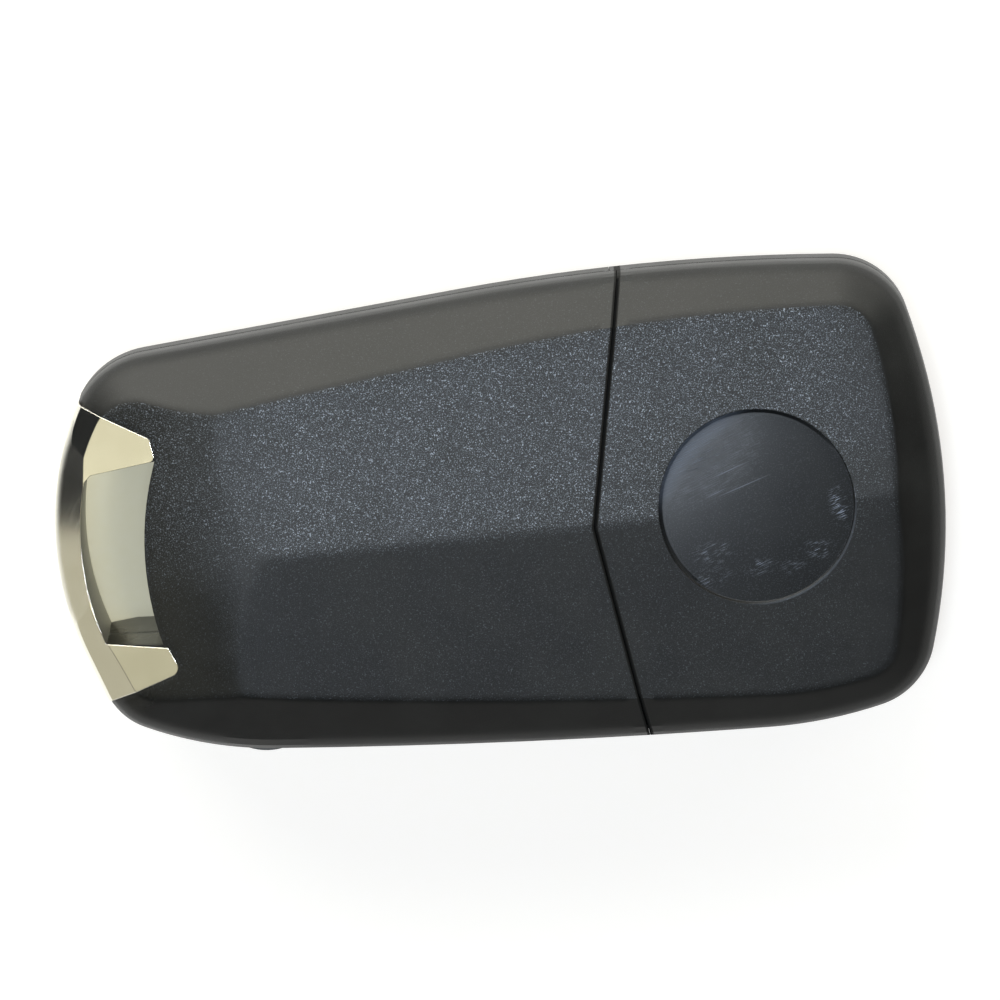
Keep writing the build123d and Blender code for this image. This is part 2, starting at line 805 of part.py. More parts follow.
# Hub: disc with two trunnions and an arm that takes the blade's root
with BuildPart() as blade_hub:
    with BuildSketch(Plane.XY.offset(hub_low)) as hub_plan:
        with Locations((pivot_x, pivot_y)):
            Circle(hub_radius)
        with Locations((pivot_x, folded_y)):
            Rectangle(hub_arm_reach, hub_arm_width, align=(Align.MIN, Align.CENTER))
        fillet(hub_plan.vertices().group_by(Axis.X)[-1], hub_arm_round)
    extrude(amount=hub_height)
    with Locations((pivot_x, pivot_y, hub_high)):
        Cylinder(back_trunnion_radius, back_trunnion_height, align=(Align.CENTER, Align.CENTER, Align.MIN))
    with Locations((pivot_x, pivot_y, hub_low)):
        Cylinder(front_trunnion_radius, front_trunnion_height, align=(Align.CENTER, Align.CENTER, Align.MAX))
    with Locations((pivot_x, pivot_y, 0)):
        Cylinder(
            stem_radius + stem_gap, split_height, align=(Align.CENTER, Align.CENTER, Align.MIN), mode=Mode.SUBTRACT
        )
    with Locations((pivot_x, pivot_y, split_height - spring_seat_depth)):
        Cylinder(hub_cup_radius, tall, align=(Align.CENTER, Align.CENTER, Align.MIN), mode=Mode.SUBTRACT)
    with Locations((blade_start_x - hub_slot_gap, folded_y, split_height)):
        Box(
            beyond,
            2 * (half_root + hub_slot_gap),
            blade_thickness + hub_slot_gap,
            align=(Align.MIN, Align.CENTER, Align.CENTER),
            mode=Mode.SUBTRACT,
        )
    with Locations((pivot_x + pin_reach, folded_y, split_height)):
        Cylinder(pin_radius + pin_gap, tall, mode=Mode.SUBTRACT)
blade_hub.part.label = "blade_hub"


# Roll pin through hub and blade, slit along its length
with BuildPart() as blade_roll_pin:
    with BuildSketch(Plane.XY.offset(hub_low)):
        with Locations((pivot_x + pin_reach, folded_y)):
            Circle(pin_radius)
            Circle(pin_radius / 2, mode=Mode.SUBTRACT)
            Rectangle(pin_radius * 2, pin_radius / 4, align=(Align.MIN, Align.CENTER), mode=Mode.SUBTRACT)
    extrude(amount=hub_height)
blade_roll_pin.part.label = "blade_roll_pin"


# Release button: its cap follows the casing's front, a stem reaches into the hub
stem_top = split_height - spring_seat_depth + end_gap
cap_top = front_bearing_low - release_travel - end_gap
recessed_form = casing_form(release_recess)
with BuildPart() as release_button:
    with Locations((pivot_x, pivot_y, 0)):
        Cylinder(release_radius, cap_top, align=(Align.CENTER, Align.CENTER, Align.MIN))
    add(recessed_form, mode=Mode.INTERSECT)
    with Locations((pivot_x, pivot_y, cap_top)):
        Cylinder(stem_radius, stem_top - cap_top, align=(Align.CENTER, Align.CENTER, Align.MIN))
release_button.part.label = "release_button"


# Coil spring between the button's stem and the back of the head
spring_low = stem_top + spring_wire
spring_high = spring_top - spring_wire
coil_length = spring_high - spring_low
with BuildPart() as flip_spring:
    with BuildLine() as coil:
        Helix(coil_length / spring_turns, coil_length, spring_radius, center=(pivot_x, pivot_y, spring_low))
    with BuildSketch(Plane(origin=coil.line @ 0, z_dir=coil.line % 0)):
        Circle(spring_wire)
    sweep(path=coil.line)
flip_spring.part.label = "flip_spring"


# Transponder brick of the immobiliser, lying on the floor of the head
with BuildPart() as transponder:
    with Locations(((pivot_x + tongue_x) / 2 - transponder_length / 4, transponder_y, wall)):
        Box(
            transponder_length,
            transponder_width,
            transponder_height,
            align=(Align.CENTER, Align.CENTER, Align.MIN),
        )
    chamfer(transponder.edges().filter_by(Axis.Z), transponder_bevel)
transponder.part.label = "transponder"


# Tongue and bulkhead of the remote section, shared by its two covers
tongue_form = casing_form(wall + tongue_gap)
tongue_hollow = casing_form(wall + tongue_gap + tongue_wall)
tongue_near_y = liner_top_y + tongue_gap
bulkhead_end_x = bulkhead_x + bulkhead

with BuildPart() as tongue_core:
    with Locations((0, tongue_near_y + tongue_wall, 0)):
        Box(2 * half_length, half_width, 2 * tall, align=(Align.CENTER, Align.MIN, Align.CENTER))
    add(tongue_hollow, mode=Mode.INTERSECT)

with BuildPart() as tongue:
    with Locations((tongue_x, tongue_near_y, 0)):
        Box(
            bulkhead_end_x - tongue_x,
            half_width,
            2 * tall,
            align=(Align.MIN, Align.MIN, Align.CENTER),
        )
    add(tongue_form, mode=Mode.INTERSECT)
    add(tongue_core.part, mode=Mode.SUBTRACT)

with BuildPart() as bulkhead_wall:
    with Locations((bulkhead_x, 0, 0)):
        Box(bulkhead, 2 * half_width, 2 * tall, align=(Align.MIN, Align.CENTER, Align.CENTER))
    add(inner_form, mode=Mode.INTERSECT)
    add(blade_room.part, mode=Mode.SUBTRACT)


# Remote section, upper half, with the round badge seat sunk into the roof
fall = radians(ridge_fall)
badge_top = ridge_height - badge_x * tan(fall)
badge_plane = Plane(
    origin=(badge_x, badge_y, badge_top - badge_depth), x_dir=(cos(fall), 0, -sin(fall)), z_dir=(sin(fall), 0, cos(fall))
)
with BuildPart() as badge_pad:
    with BuildSketch(badge_plane.offset(-badge_floor)):
        Circle(badge_radius + badge_floor)
    extrude(amount=badge_floor + badge_depth)
    add(inner_form, mode=Mode.INTERSECT)

with BuildPart() as remote_back_cover:
    add(casing.part)
    add(bulkhead_wall.part)
    add(badge_pad.part)
    add(remote_side, mode=Mode.INTERSECT)
    add(tongue.part)
    add(back_lip.part)
    add(back_half.part, mode=Mode.INTERSECT)
    with BuildSketch(badge_plane):
        Circle(badge_radius)
    extrude(amount=beyond / 2, mode=Mode.SUBTRACT)
remote_back_cover.part.label = "remote_back_cover"


# Places of the buttons and the ring round them, right of the bulkhead
board_left_x = bulkhead_end_x + board_gap
board_near_y = liner_top_y + board_gap
frame_length = key_length + 2 * key_flange + 2 * frame_gap
frame_width = key_pitch + key_width + 2 * key_flange + 2 * frame_gap
frame_corner = key_corner + key_flange + frame_gap
key_x = board_left_x + frame_wall + frame_length / 2
key_ys = [key_pair_y + key_pitch / 2, key_pair_y - key_pitch / 2]


# Remote section, lower half, with the two button openings
with BuildPart() as remote_front_cover:
    add(casing.part)
    add(bulkhead_wall.part)
    add(remote_front_side, mode=Mode.INTERSECT)
    add(tongue.part)
    add(front_lip.part)
    add(front_half.part, mode=Mode.INTERSECT)
    with BuildSketch():
        with Locations(*[(key_x, y) for y in key_ys]):
            RectangleRounded(key_length + 2 * key_gap, key_width + 2 * key_gap, key_corner + key_gap)
    extrude(amount=2 * wall, mode=Mode.SUBTRACT)
remote_front_cover.part.label = "remote_front_cover"


# Keypad frame: upright ring round the buttons, which carries the circuit board
with BuildPart() as keypad_frame:
    with BuildSketch(Plane.XY.offset(wall)):
        with Locations((key_x, key_pair_y)):
            RectangleRounded(frame_length + 2 * frame_wall, frame_width + 2 * frame_wall, frame_corner + frame_wall)
            RectangleRounded(frame_length, frame_width, frame_corner, mode=Mode.SUBTRACT)
    extrude(amount=board_height - wall)
keypad_frame.part.label = "keypad_frame"


# Circuit board, shaped to the inside of the remote section
board_top = board_height + board_thickness
with BuildPart() as circuit_board:
    with BuildSketch(Plane.XY.offset(board_height)):
        with Locations((board_left_x, board_near_y)):
            Rectangle(half_length, half_width, align=(Align.MIN, Align.MIN))
        add(outline_at(wall + board_wall_gap, 0), mode=Mode.INTERSECT)
    extrude(amount=board_thickness)
circuit_board.part.label = "circuit_board"


# Remote buttons with their flanges and nubs, and the switches that they press
flange_low = wall + key_lift
flange_high = flange_low + key_flange_height
switch_low = board_height - switch_height
plunger_low = switch_low - plunger_rise
button_parts = {}
for name, y in zip(("lock", "unlock"), key_ys):
    with BuildPart() as remote_button:
        with BuildSketch(Plane.XY.offset(key_recess)):
            with Locations((key_x, y)):
                RectangleRounded(key_length, key_width, key_corner)
        extrude(amount=flange_high - key_recess)
        fillet(remote_button.edges().group_by(Axis.Z)[0], key_lift)
        with BuildSketch(Plane.XY.offset(flange_low)):
            with Locations((key_x, y)):
                RectangleRounded(key_length + 2 * key_flange, key_width + 2 * key_flange, key_corner + key_flange)
        extrude(amount=key_flange_height)
        with Locations((key_x, y, flange_high)):
            Cylinder(nub_radius, plunger_low - flange_high, align=(Align.CENTER, Align.CENTER, Align.MIN))
    remote_button.part.label = name + "_button"
    button_parts[name + "_button"] = remote_button.part

    with BuildPart() as switch:
        with Locations((key_x, y, switch_low)):
            Box(switch_length, switch_width, switch_height, align=(Align.CENTER, Align.CENTER, Align.MIN))
            Cylinder(
                plunger_radius + plunger_gap,
                plunger_depth + key_travel + end_gap,
                align=(Align.CENTER, Align.CENTER, Align.MIN),
                mode=Mode.SUBTRACT,
            )
        chamfer(switch.edges().filter_by(Axis.Z), switch_bevel)
    switch.part.label = name + "_switch"
    button_parts[name + "_switch"] = switch.part

    with BuildPart() as plunger:
        with Locations((key_x, y, plunger_low)):
            Cylinder(
                plunger_radius, switch_low + plunger_depth - plunger_low, align=(Align.CENTER, Align.CENTER, Align.MIN)
            )
    plunger.part.label = name + "_plunger"
    button_parts[name + "_plunger"] = plunger.part


# Controller and resonator in the board's two corners beside the cell
chip_x = casing_length / 2 - wall - board_wall_gap - corner_part_inset - chip_length / 2
corner_part_y = board_near_y + corner_part_inset
with BuildPart() as controller_chip:
    with Locations((chip_x, corner_part_y, board_top)):
        Box(chip_length, chip_width, chip_height, align=(Align.CENTER, Align.CENTER, Align.MIN))
    chamfer(controller_chip.edges().group_by(Axis.Z)[-1], chip_height / 4)
controller_chip.part.label = "controller_chip"

with BuildPart() as resonator:
    with Locations((board_left_x + corner_part_inset, corner_part_y, board_top)):
        Box(resonator_length, resonator_width, resonator_height, align=(Align.CENTER, Align.CENTER, Align.MIN))
    fillet(resonator.edges().filter_by(Axis.Z), resonator_round)
resonator.part.label = "resonator"


# Coin cell: wide can upwards, narrower cap downwards
cell_low = board_top + contact_height
cell_high = cell_low + cell_height
with BuildPart() as coin_cell:
    with BuildSketch(Plane.XZ.offset(-cell_y)) as cell_section:
        with BuildLine():
            Polyline(
                (cell_x, cell_low),
                (cell_x + cell_radius - cell_cap_inset, cell_low),
                (cell_x + cell_radius - cell_cap_inset, cell_low + cell_can_step),
                (cell_x + cell_radius, cell_low + cell_can_step),
                (cell_x + cell_radius, cell_high),
                (cell_x, cell_high),
                close=True,
            )
        make_face()
        fillet(cell_section.vertices().sort_by_distance((cell_x + cell_radius, cell_y, cell_high))[0], cell_edge)
    revolve(axis=Axis((cell_x, cell_y, 0), (0, 0, 1)))
coin_cell.part.label = "coin_cell"


# Negative contact: a sheet pad on the board with a sprung finger up to the cell
with BuildPart() as battery_clip_negative:
    with BuildSketch(Plane.XZ.offset(-cell_y)):
        with BuildLine():
            Polyline(
                (cell_x - contact_pad, board_top),
                (cell_x + contact_pad / 2, board_top),
                (cell_x + contact_pad / 2, board_top + clip_sheet),
                (cell_x - contact_pad / 2, board_top + clip_sheet),
                (cell_x + contact_pad / 2, cell_low),
                (cell_x, cell_low),
                (cell_x - contact_pad, board_top + clip_sheet),
                close=True,
            )
        make_face()
    extrude(amount=clip_width / 2, both=True)
battery_clip_negative.part.label = "battery_clip_negative"


# Positive contact: a strap over the cell with a leg down to the board on each side
strap_reach = cell_radius + clip_gap
with BuildPart() as battery_clip_positive:
    with BuildSketch(Plane.YZ.offset(cell_x)) as strap_section:
        with BuildLine():
            Polyline(
                (cell_y - strap_reach - clip_sheet, board_top),
                (cell_y - strap_reach - clip_sheet, cell_high + clip_sheet),
                (cell_y + strap_reach + clip_sheet, cell_high + clip_sheet),
                (cell_y + strap_reach + clip_sheet, board_top),
                (cell_y + strap_reach, board_top),
                (cell_y + strap_reach, cell_high),
                (cell_y - strap_reach, cell_high),
                (cell_y - strap_reach, board_top),
                close=True,
            )
        make_face()
    extrude(amount=clip_width / 2, both=True)
battery_clip_positive.part.label = "battery_clip_positive"


os.makedirs("parts", exist_ok=True)
pieces = {
    "head_back_shell": head_back_shell.part,
    "head_front_shell": head_front_shell.part,
    "head_screws": head_screws.part,
    "ring_bow": ring_bow.part,
    "key_blade": key_blade.part,
    "blade_hub": blade_hub.part,
    "blade_roll_pin": blade_roll_pin.part,
    "release_button": release_button.part,
    "flip_spring": flip_spring.part,
    "transponder": transponder.part,
    "remote_back_cover": remote_back_cover.part,
    "remote_front_cover": remote_front_cover.part,
    "keypad_frame": keypad_frame.part,
    "circuit_board": circuit_board.part,
    "controller_chip": controller_chip.part,
    "resonator": resonator.part,
    "coin_cell": coin_cell.part,
    "battery_clip_negative": battery_clip_negative.part,
    "battery_clip_positive": battery_clip_positive.part,
    **button_parts,
}
for name, piece in pieces.items():
    export_step(piece, f"parts/{name}.step")
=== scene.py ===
from math import radians

import bmesh
import bpy
from mathutils import Matrix, Vector


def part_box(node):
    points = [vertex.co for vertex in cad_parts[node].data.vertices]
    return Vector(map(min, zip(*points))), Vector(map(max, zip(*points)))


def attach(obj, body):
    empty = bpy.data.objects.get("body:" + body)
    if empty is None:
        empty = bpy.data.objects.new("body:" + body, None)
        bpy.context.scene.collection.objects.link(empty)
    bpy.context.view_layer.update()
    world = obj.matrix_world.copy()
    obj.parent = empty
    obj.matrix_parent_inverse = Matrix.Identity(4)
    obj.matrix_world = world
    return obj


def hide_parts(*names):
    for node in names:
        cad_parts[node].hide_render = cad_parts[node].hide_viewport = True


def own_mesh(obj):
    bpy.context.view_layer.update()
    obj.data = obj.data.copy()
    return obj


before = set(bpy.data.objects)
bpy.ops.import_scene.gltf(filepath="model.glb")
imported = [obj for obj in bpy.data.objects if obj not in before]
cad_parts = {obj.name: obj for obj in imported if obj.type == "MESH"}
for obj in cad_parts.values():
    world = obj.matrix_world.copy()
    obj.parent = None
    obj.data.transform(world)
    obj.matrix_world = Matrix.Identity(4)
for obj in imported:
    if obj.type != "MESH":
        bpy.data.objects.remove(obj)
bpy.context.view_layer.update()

# Camera: nearly straight above the back of the folded key, leaning a little to the far side,
# with the key turned slightly in the picture.
camera_target = (0.0, 0.00033, 0.0073)
camera_distance = 0.8
camera_lean = radians(9.5)
camera_turn = radians(2.4)
sensor_width = 36.0
view_width = 0.08446

camera_data = bpy.data.cameras.new("camera")
camera_data.sensor_width = sensor_width
camera_data.lens = sensor_width * camera_distance / view_width
camera = bpy.data.objects.new("camera", camera_data)
bpy.context.scene.collection.objects.link(camera)
camera.rotation_euler = (-camera_lean, 0, -camera_turn)
towards_camera = camera.rotation_euler.to_matrix() @ Vector((0, 0, 1))
camera.location = Vector(camera_target) + towards_camera * camera_distance
bpy.context.scene.camera = camera


# Studio: soft boxes in a dim room, each with its direction from the key and its distance. The
# overhead box lights the roof, the far two the upper bevels, and the others the key-ring bow.
near_distance = 0.7
far_distance = 0.8
cool_light = (0.80, 0.89, 1.0)
day_light = (1.0, 0.99, 0.91)
warm_light = (1.0, 0.95, 0.70)
rim_light = (1.0, 0.95, 0.74)
room_colour = (0.9, 0.95, 1.0, 1)
room_strength = 0.024


def soft_box(name, direction, distance, size, colour, power):
    data = bpy.data.lights.new(name, "AREA")
    data.shape = "RECTANGLE"
    data.size, data.size_y = size
    data.color = colour
    data.energy = power
    lamp = bpy.data.objects.new(name, data)
    away = Vector(direction).normalized()
    lamp.location = Vector(camera_target) + away * distance
    lamp.rotation_euler = away.to_track_quat("Z", "Y").to_euler()
    bpy.context.scene.collection.objects.link(lamp)


soft_box("overhead_box", (-0.06, 0.02, 1.0), near_distance, (0.19, 0.12), cool_light, power=2.35)
soft_box("far_box", (-0.34, 1.0, 0.36), far_distance, (0.95, 0.52), day_light, power=10.2)
soft_box("corner_box", (0.80, 1.0, 0.36), far_distance, (0.70, 0.50), day_light, power=3.1)
soft_box("bow_box", (-0.72, 0.018, 1.0), near_distance, (0.42, 0.32), warm_light, power=0.32)
soft_box("lower_bow_box", (-0.72, -0.48, 1.0), near_distance, (0.42, 0.22), warm_light, power=0.15)
soft_box("low_bow_box", (-1.0, -0.677, 0.16), near_distance, (0.68, 0.20), rim_light, power=0.205)

world = bpy.data.worlds.new("studio_air")
world.use_nodes = True
air = world.node_tree.nodes["Background"]
air.inputs["Color"].default_value = room_colour
air.inputs["Strength"].default_value = room_strength
bpy.context.scene.world = world
bpy.context.scene.view_settings.view_transform = "Standard"


# Floor: a wide sheet of pale card that the key lies on, white to the camera and in reflections,
# a little darker in the key's shadow, with painted beige shade under the key-ring window.
floor_reach = 1.5
floor_corners = 96
floor_level = -0.00002
window_place = (-0.0325, -0.0028, 0.0)
window_size = (0.0029, 0.0070, 1.0)
window_edge = (1.3, 1.86)
fibre_scale = 900.0
fibre_share = 0.1
card_matt = 0.9
card_gloss = 0.1
# Colour and glow of the painted beige shade under the window, then of the white card
card_painted_shade = (0.44, 0.41, 0.29, 1)
card_white = (0.50, 0.495, 0.47, 1)
glow_painted_shade = (0.25, 0.25, 0.20, 1)
glow_white = (0.70, 0.69, 0.685, 1)
no_glow = (0, 0, 0, 1)

floor_mesh = bmesh.new()
bmesh.ops.create_circle(
    floor_mesh,
    cap_ends=True,
    radius=floor_reach,
    segments=floor_corners,
    matrix=Matrix.Translation((0, 0, floor_level)),
)
floor_data = bpy.data.meshes.new("floor")
floor_mesh.to_mesh(floor_data)
floor_mesh.free()
floor = bpy.data.objects.new("floor", floor_data)
bpy.context.scene.collection.objects.link(floor)

# Soft patches, which most finishes have, and the small round that shading gives to edges
patch_detail = 3.0
patch_edge = (0.3, 0.7)
edge_round = 0.00015
edge_samples = 4


# A node's output. Arithmetic on it adds Math nodes, and node() adds any other node.
class Signal:
    def __init__(self, socket):
        self.socket = socket

    def node(self, kind, settings, inputs, output=0):
        tree = self.socket.id_data
        made = tree.nodes.new("ShaderNode" + kind)
        for name, value in settings.items():
            setattr(made, name, value)
        for name, value in inputs.items():
            if isinstance(value, Signal):
                tree.links.new(value.socket, made.inputs[name])
            else:
                made.inputs[name].default_value = value
        return Signal(made.outputs[output])

    def math(self, operation, *values):
        return self.node("Math", {"operation": operation}, dict(enumerate(values)))

    def __add__(self, other):
        return self.math("ADD", self, other)

    def __radd__(self, other):
        return self.math("ADD", other, self)

    def __sub__(self, other):
        return self.math("SUBTRACT", self, other)

    def __rsub__(self, other):
        return self.math("SUBTRACT", other, self)

    def __mul__(self, other):
        return self.math("MULTIPLY", self, other)

    def __rmul__(self, other):
        return self.math("MULTIPLY", other, self)

    def __truediv__(self, other):
        return self.math("DIVIDE", self, other)

    def __abs__(self):
        return self.math("ABSOLUTE", self)

    def wave(self):
        return self.math("SINE", self)

    def larger(self, other):
        return self.math("MAXIMUM", self, other)

    def between(self, low, high):
        smooth = {"interpolation_type": "SMOOTHSTEP"}
        return self.node("MapRange", smooth, {0: self, 1: low, 2: high})

    def tint(self, low_colour, high_colour):
        colours = {0: self, 6: low_colour, 7: high_colour}
        return self.node("Mix", {"data_type": "RGBA"}, colours, output=2)

    def bend(self, low_normal, high_normal):
        normals = {0: self, 4: low_normal, 5: high_normal}
        return self.node("Mix", {"data_type": "VECTOR"}, normals, output=1)

    def noise(self, scale, detail=2.0):
        return self.node("TexNoise", {}, {"Vector": self, "Scale": scale, "Detail": detail})

    def patches(self, scale):
        return self.noise(scale, patch_detail).between(*patch_edge)

    def placed(self, location=(0, 0, 0), turn=0.0, size=(1, 1, 1)):
        place = {"Location": location, "Rotation": (0, 0, radians(turn)), "Scale": size}
        return self.node("Mapping", {"vector_type": "TEXTURE"}, {"Vector": self, **place})

    def part(self, axis):
        return self.node("SeparateXYZ", {}, {0: self}, output="XYZ".index(axis))

    def distance(self):
        return self.node("VectorMath", {"operation": "LENGTH"}, {0: self}, output=1)


# A new material: its shader's fixed values, and the place on the piece that its patterns follow.
class Finish:
    def __init__(self, name, **fixed):
        self.material = bpy.data.materials.new(name)
        self.material.use_nodes = True
        tree = self.material.node_tree
        self.shader = tree.nodes["Principled BSDF"]
        for socket, value in fixed.items():
            self.shader.inputs[socket.replace("_", " ")].default_value = value
        self.place = Signal(tree.nodes.new("ShaderNodeTexCoord").outputs["Object"])

    def feed(self, **signals):
        for socket, signal in signals.items():
            target = self.shader.inputs[socket.replace("_", " ")]
            self.material.node_tree.links.new(signal.socket, target)

    def facing(self):
        return Signal(self.place.socket.node.outputs["Normal"])

    def rounded(self, radius):
        return self.place.node("Bevel", {"samples": edge_samples}, {"Radius": radius})

    def bump(self, height, distance, edge=edge_round, start=None):
        relief = {"Height": height, "Distance": distance, "Normal": start or self.rounded(edge)}
        self.feed(Normal=height.node("Bump", {}, relief))

    def coat_nodes(self, *names):
        for name in names:
            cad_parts[name].data.materials.clear()
            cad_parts[name].data.materials.append(self.material)


card = Finish("pale_card", Roughness=card_matt, Specular_IOR_Level=card_gloss, Emission_Strength=1.0)
# Painted shade: the card and its glow turn beige under the key-ring window, fading out around it
from_window = card.place.placed(location=window_place, size=window_size).distance()
outside = from_window.between(*window_edge)
pale = outside * (1 - fibre_share) + card.place.patches(fibre_scale) * fibre_share
rays = card.material.node_tree.nodes.new("ShaderNodeLightPath").outputs
seen = Signal(rays["Is Camera Ray"]) + Signal(rays["Is Glossy Ray"])
seen = seen + Signal(rays["Is Transmission Ray"])
card.feed(
    Base_Color=pale.tint(card_painted_shade, card_white),
    Emission_Color=seen.tint(no_glow, outside.tint(glow_painted_shade, glow_white)),
)
floor_data.materials.append(card.material)


# Casing: head and remote section, two halves each, injection moulded in black plastic with
# softened creases and a fine spark-eroded grain in relief. Its sparkle is painted glint: light
# specks in the colour, on the roof and most beyond its ridge, where they begin sharply in the
# middle and softly at the ends, and fewer by the bow and the wide end. Handling has polished the
# near side by the bow.
any_height = 1e6
in_plan = (1, 1, any_height)
plastic_ior = 1.5
plastic_gloss = 0.28
casing_colour = (0.0068, 0.0068, 0.0062, 1)
casing_cloud = (0.0130, 0.0133, 0.0123, 1)
cloud_scale = 160.0
grain_scale = 13000.0
grain_height = 0.000010

roof_facing = (0.90, 0.97)
ridge_place = (0.0, -0.00125, 0.0)
ridge_turn = 3.15
ridge_edge = (-0.0010, 0.0010)
ridge_edge_at_ends = (-0.005, 0.006)
polish_edge = (-0.004, 0.005)
bow_end = (-0.026, -0.016)
remote_start = (0.009, 0.020)
wide_end = (0.026, 0.034)

# Painted glints: the specks' light colour, and how dense and bright they are
painted_glint_colour = (0.41, 0.46, 0.54, 1)
dense_painted_glints = {"scale": 12000.0, "edge": (0.42, 0.80), "light": 0.30}
sparse_painted_glints = {"scale": 8200.0, "edge": (0.64, 0.82), "light": 0.60}
painted_glints_on_bevels = 0.06
glint_loss_short_of_ridge = 0.84
glint_loss_at_bow = 0.40
glint_loss_at_wide_end = 0.65

casing_matt = 0.40
cloud_matt = 0.06
glint_shine = 0.20
polish_shine = 0.15
gap_matt = 0.5

parting_point = (0.00786, -0.00113, 0.0)
parting_turns = (82.3, -77.7)
parting_start = (-0.0002, 0)
parting_gap = (0.00019, 0.00032)
parting_sharpness = (0.0009, 0.0014)
thin_wall_place = (-0.0204, -0.0180, 0.0)
thin_wall_reach = (0.003, 0.004)
crease_round = 0.0011
fine_round = 0.00012


def moulded_plastic(name):
    finish = Finish(name, IOR=plastic_ior, Specular_IOR_Level=plastic_gloss)
    grain = finish.place.noise(grain_scale, detail=1.0)
    cloud = finish.place.patches(cloud_scale)
    roof = finish.facing().part("Z").between(*roof_facing)
    far_side = finish.place.placed(location=ridge_place, turn=ridge_turn).part("Y")
    along = finish.place.part("X")
    near_bow = 1 - along.between(*bow_end)
    ends = near_bow + along.between(*remote_start)
    beyond_ridge = far_side.between(*ridge_edge) * (1 - ends)
    beyond_ridge_at_ends = far_side.between(*ridge_edge_at_ends) * ends
    short_of_ridge = 1 - beyond_ridge - beyond_ridge_at_ends
    fading = (1 - glint_loss_at_bow * near_bow) * (1 - glint_loss_at_wide_end * along.between(*wide_end))
    on_roof = painted_glints_on_bevels + (1 - painted_glints_on_bevels) * roof
    strength = (1 - glint_loss_short_of_ridge * short_of_ridge) * on_roof * fading
    # The specks are painted glints of the lamps off the grain, put into the colour
    dense = finish.place.noise(dense_painted_glints["scale"], detail=0.0).between(*dense_painted_glints["edge"])
    sparse = finish.place.noise(sparse_painted_glints["scale"], detail=0.0).between(*sparse_painted_glints["edge"])
    light = dense_painted_glints["light"] * dense * dense + sparse_painted_glints["light"] * sparse
    painted_glints = light * strength
    polish = near_bow * (1 - far_side.between(*polish_edge))
    matt = casing_matt + cloud_matt * cloud - glint_shine * painted_glints - polish_shine * polish
    return finish, grain, cloud, painted_glints, matt


def parting_leg(finish, turn, width):
    line = finish.place.placed(location=parting_point, turn=turn)
    return (1 - abs(line.part("Y")).between(*width)) * line.part("X").between(*parting_start)


def parting(finish, width):
    upper_leg, lower_leg = [parting_leg(finish, turn, width) for turn in parting_turns]
    return upper_leg.larger(lower_leg)


def casing_normal(finish, detail):
    sharp = detail.larger(parting(finish, parting_sharpness))
    return sharp.bend(finish.rounded(crease_round), finish.rounded(fine_round))


plastic, grain, cloud, painted_glints, matt = moulded_plastic("grained_black_plastic")
gap = parting(plastic, parting_gap)
clean = (cloud - gap).tint(casing_colour, casing_cloud)
# The base colour carries the painted glints, except in the parting gap
plastic.feed(
    Base_Color=(painted_glints * (1 - gap)).tint(clean, painted_glint_colour),
    Roughness=matt + gap_matt * gap,
)
from_thin_wall = plastic.place.placed(location=thin_wall_place, size=in_plan).distance()
thin_wall = 1 - from_thin_wall.between(*thin_wall_reach)
plastic.bump(grain, grain_height, start=casing_normal(plastic, thin_wall))
plastic.coat_nodes("head_back_shell", "head_front_shell", "remote_front_cover")


# Badge seat: the round recess for a badge in the back cover of the remote section, bare here,
# with a slightly domed smooth floor. Prising has left scratches that rise to the right, and
# scuffs. Painted highlights light up the scratches in a zone at the upper left, a crescent inside
# the rim there and the rim's edge at the lower right, and painted shade darkens the floor along
# the upper-left rim. Rings are measured from the seat's edge, sides from its middle.
badge_centre = (0.0215, 0.0, 0.0)
badge_radius = 0.00825
lit_turn = 137.0
seat_edge = (-0.00010, 0.0)
rim_start = (-0.00005, 0.0)
rim_end = (0.00008, 0.00016)
rim_dark_side = (-0.9, -0.5)
rim_shade_ring = (-0.00060, -0.00020)
rim_shade_side = (-0.1, 0.7)
rim_highlight_ring = (-0.0022, -0.0008)
rim_highlight_side = (0.66, 0.90)
foot_ring = (-0.00036, -0.00004)
foot_side = (-0.4, 0.4)
lip_ring = (0.0008, 0.0013)

scratch_turn = 24.0
scratch_width = 0.00006
fine_line_length = 0.0016
short_line_length = 0.0009
streak_edge = (0.48, 0.70)
short_line_edge = (0.56, 0.70)
scuff_turn = 10.0
scuff_scale = 1300.0
scuff_edge = (0.38, 0.58)
mottle_scale = 9000.0
mottle_edge = (0.40, 0.90)
mottle_share = 0.6
line_share = 0.7
# Zone at the upper left where the scratches get a painted highlight
scratch_highlight_zone = ((0.0168, 0.0046), (0.0072, 0.0056))
scratch_highlight_turn = 30.0
# Middle, reach and depth of each scuff, then middle, reach and turn of each long scratch
scuff_spots = (
    ((0.0284, -0.0003), (0.0010, 0.0024), 2.4),
    ((0.0265, -0.0039), (0.0018, 0.0011), 2.0),
    ((0.0179, -0.0038), (0.0026, 0.0013), 0.9),
    ((0.0216, -0.0052), (0.0018, 0.0009), 1.3),
    ((0.0175, -0.0060), (0.0024, 0.0012), 0.9),
    ((0.0243, -0.0053), (0.0014, 0.0008), 1.0),
)
long_scratches = (
    ((0.0205, 0.00175), 0.0030, 21.2),
    ((0.0193, 0.0031), 0.0022, 22.5),
    ((0.0181, 0.0012), 0.0012, 24.0),
)

